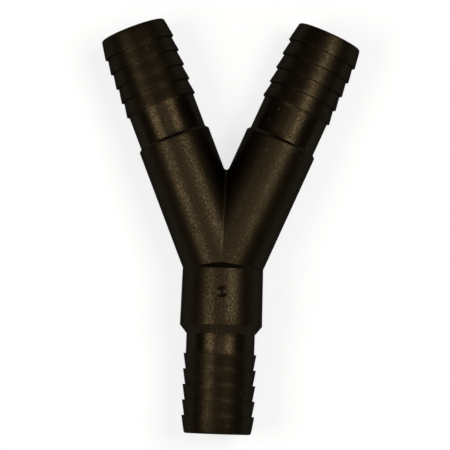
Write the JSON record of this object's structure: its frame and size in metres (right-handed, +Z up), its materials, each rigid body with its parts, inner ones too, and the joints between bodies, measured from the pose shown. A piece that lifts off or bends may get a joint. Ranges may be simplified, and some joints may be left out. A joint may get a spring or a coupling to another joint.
{
  "type": "tubing y connector",
  "caption": "Black moulded Y connector for hose: a stem with a collar splits into two leaning arms, each leg ending in a barbed hose tail.",
  "frame": {"origin": "the point where the centre-lines of the three bores cross", "axes": "-Y runs out along the stem's bore, the two arms lean 22.65 degrees either side of +Y in the XY plane, +Z is up when the fitting lies flat"},
  "size_m": [0.0732, 0.1171, 0.0232],
  "materials": {
    "moulded_body": "injection moulded, black, fine spark-eroded grain with a dull sheen"
  },
  "bodies": {
    "root": {"y_connector": "moulded_body"}
  },
  "joints": []
}
